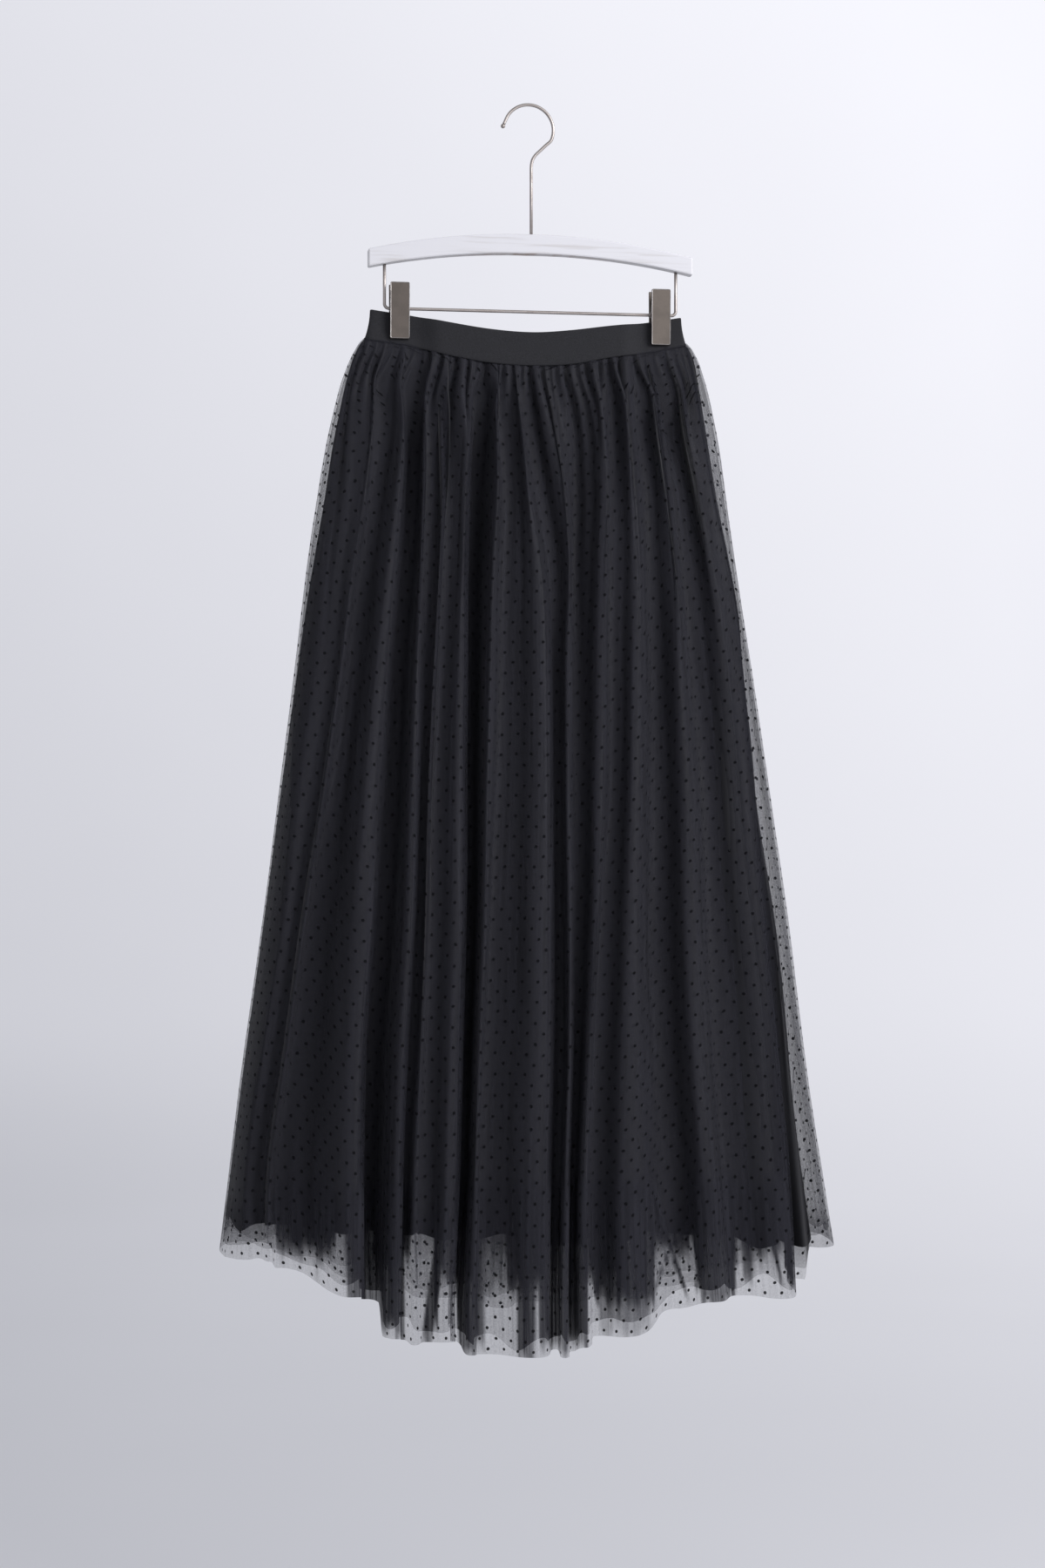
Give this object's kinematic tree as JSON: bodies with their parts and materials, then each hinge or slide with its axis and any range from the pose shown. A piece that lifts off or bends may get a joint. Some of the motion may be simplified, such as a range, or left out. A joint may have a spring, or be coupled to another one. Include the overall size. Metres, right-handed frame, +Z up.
{
  "type": "tulle skirt on clip hanger",
  "caption": "Long gathered black skirt of dotted tulle over plain tulle and a shorter lining, on a wide elastic waistband, clipped to an arched wooden hanger with a wire hook.",
  "frame": {"origin": "inner top of the hook, where it hangs on a rail or peg", "axes": "+X along the hanger bar to the right as the front is looked at, +Y to the skirt's back, +Z up"},
  "size_m": [0.613, 0.206, 1.2331],
  "materials": {
    "dotted_tulle": "sheer black net with small flocked dots",
    "plain_tulle": "sheer black net",
    "lining_cloth": "opaque smooth black woven lining",
    "elastic_band": "smooth black elastic with fine ribs",
    "whitewashed_wood": "whitewashed, satin",
    "satin_nickel": "satin nickel wire",
    "pewter_plate": "satin bronze-grey plate",
    "spring_steel": "bright spring wire"
  },
  "bodies": {
    "root": {"tulle_front": "dotted_tulle", "tulle_back": "dotted_tulle", "under_tulle_front": "plain_tulle", "under_tulle_back": "plain_tulle", "lining_front": "lining_cloth", "lining_back": "lining_cloth", "waistband": "elastic_band", "hanger_bar": "whitewashed_wood", "hook": "satin_nickel", "hook_tip": "satin_nickel", "clip_rod": "satin_nickel", "clip_left_front": "pewter_plate", "clip_left_back": "pewter_plate", "clip_left_spring": "spring_steel", "clip_right_front": "pewter_plate", "clip_right_back": "pewter_plate", "clip_right_spring": "spring_steel"}
  },
  "joints": []
}
